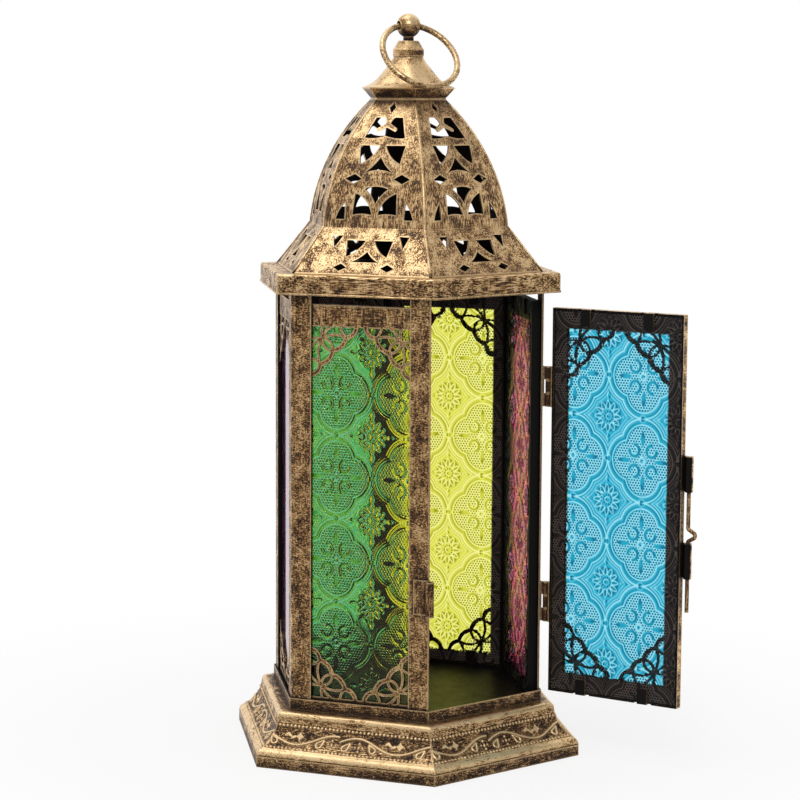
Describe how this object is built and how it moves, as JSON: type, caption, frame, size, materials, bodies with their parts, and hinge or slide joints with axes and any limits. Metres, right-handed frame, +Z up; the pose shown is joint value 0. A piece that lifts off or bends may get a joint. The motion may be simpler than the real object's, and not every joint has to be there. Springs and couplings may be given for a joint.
{
  "type": "candle lantern",
  "caption": "Hexagonal pressed-metal candle lantern with coloured relief glass, a hinged door with a slide bolt, a pierced bell-shaped dome, a ball finial and a hanging ring.",
  "frame": {"origin": "centre of the foot on the surface that the lantern stands on", "axes": "+Z up along the lantern's axis, -Y out through the face that the door closes"},
  "size_m": [0.1422, 0.169, 0.28],
  "materials": {
    "rubbed_bronze": "dark bronze paint rubbed back to gold on the edges",
    "hinge_steel": "dull reddish brown",
    "latch_wire": "dark bronze paint, worn",
    "glass_cyan": "pressed relief glass, sky blue",
    "glass_lime": "pressed relief glass, yellow green",
    "glass_magenta": "pressed relief glass, magenta"
  },
  "bodies": {
    "lantern": {"base_panel_front": "rubbed_bronze", "base_panel_front_left": "rubbed_bronze", "base_panel_front_right": "rubbed_bronze", "base_panel_rear": "rubbed_bronze", "base_panel_rear_left": "rubbed_bronze", "base_panel_rear_right": "rubbed_bronze", "cap_bell": "rubbed_bronze", "cap_drum": "rubbed_bronze", "crown_plate": "rubbed_bronze", "dome_panel_front": "rubbed_bronze", "dome_panel_front_left": "rubbed_bronze", "dome_panel_front_right": "rubbed_bronze", "dome_panel_rear": "rubbed_bronze", "dome_panel_rear_left": "rubbed_bronze", "dome_panel_rear_right": "rubbed_bronze", "finial_ball": "rubbed_bronze", "finial_collar": "rubbed_bronze", "finial_nut": "hinge_steel", "floor_tray": "rubbed_bronze", "foot_band": "rubbed_bronze", "hinge_pin_lower": "hinge_steel", "hinge_pin_upper": "hinge_steel", "hinge_post_leaf_lower": "hinge_steel", "hinge_post_leaf_upper": "hinge_steel", "latch_keeper": "latch_wire", "pane_front_left": "glass_lime", "pane_front_right": "glass_magenta", "pane_rear": "glass_cyan", "pane_rear_left": "glass_magenta", "pane_rear_right": "glass_lime", "panel_frame_front_left": "rubbed_bronze", "panel_frame_front_right": "rubbed_bronze", "panel_frame_rear": "rubbed_bronze", "panel_frame_rear_left": "rubbed_bronze", "panel_frame_rear_right": "rubbed_bronze", "post_hinge": "rubbed_bronze", "post_latch": "rubbed_bronze", "post_left": "rubbed_bronze", "post_rear_left": "rubbed_bronze", "post_rear_right": "rubbed_bronze", "post_right": "rubbed_bronze", "roof_tray": "rubbed_bronze"},
    "door": {"door_frame": "rubbed_bronze", "door_pane": "glass_cyan", "hinge_door_leaf_lower": "hinge_steel", "hinge_door_leaf_upper": "hinge_steel", "latch_barrel_lower": "latch_wire", "latch_barrel_upper": "latch_wire"},
    "bolt": {"latch_bolt": "latch_wire"},
    "ring": {"hanging_ring": "rubbed_bronze"}
  },
  "joints": [
    {"name": "door_hinge", "type": "hinge", "parent": "lantern", "child": "door", "pos_m": [0.02905, -0.0493, 0.1], "axis": [0, 0, 1], "range_deg": [-109.3, 110]},
    {"name": "bolt_slide", "type": "slide", "parent": "door", "child": "bolt", "axis": [0, 0, 1], "range_m": [0, 0.0127]},
    {"name": "ring_swing", "type": "hinge", "parent": "lantern", "child": "ring", "pos_m": [0, 0, 0.27545], "axis": [-0.9796, 0.2011, 0], "range_deg": [0, 279]}
  ]
}
